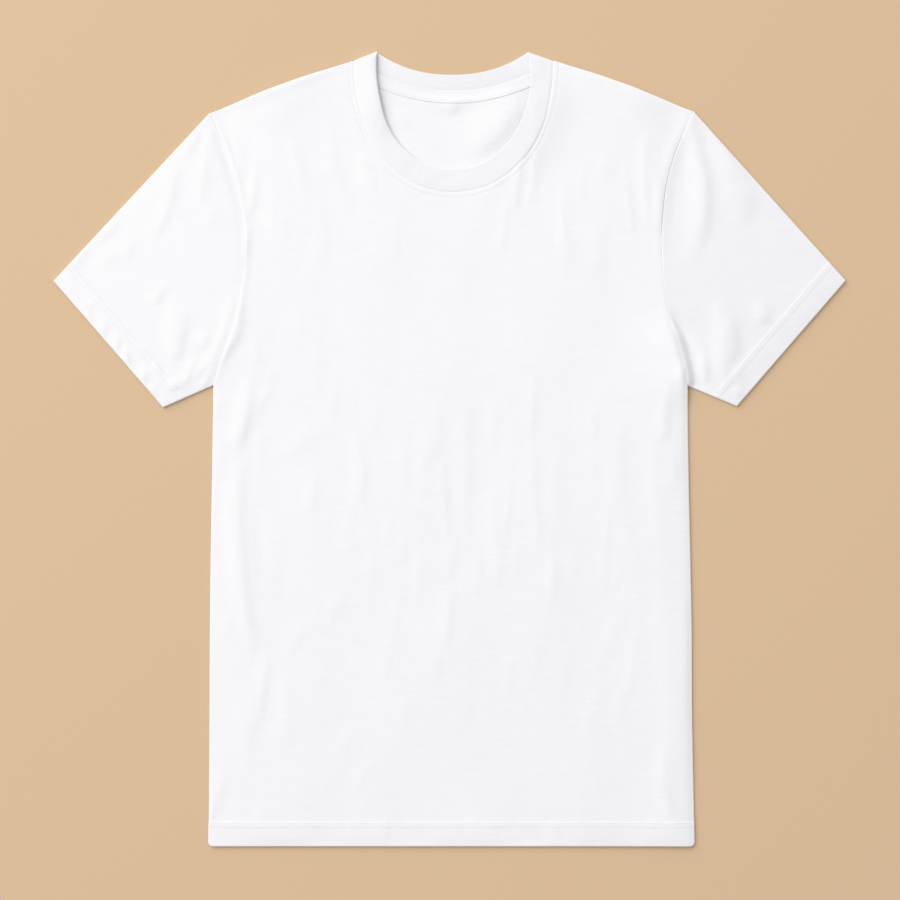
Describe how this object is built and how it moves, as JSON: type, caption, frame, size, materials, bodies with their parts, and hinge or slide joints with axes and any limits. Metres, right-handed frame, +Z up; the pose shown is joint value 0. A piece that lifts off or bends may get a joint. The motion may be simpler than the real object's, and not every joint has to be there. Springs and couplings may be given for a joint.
{
  "type": "crew neck t-shirt",
  "caption": "Short-sleeved crew neck t-shirt in plain white jersey, laid flat and face up, with a ribbed neck ring, set-in sleeves and turned-up hems.",
  "frame": {"origin": "on the surface it lies on, under the middle of its outline", "axes": "+Z up from the surface, out of the garment's front; +Y from the hem to the neck; +X to the right seen from above, the wearer's left arm"},
  "size_m": [0.7616, 0.7633, 0.0082],
  "materials": {
    "jersey": "matt white cotton single jersey with faint slubs",
    "rib": "matt white fine rib knit, doubled",
    "tape": "matt white jersey strip, stitched along both edges"
  },
  "bodies": {
    "root": {"front_panel": "jersey", "back_panel": "jersey", "sleeve_left": "jersey", "sleeve_right": "jersey", "neck_rib": "rib", "neck_tape": "tape"}
  },
  "joints": []
}
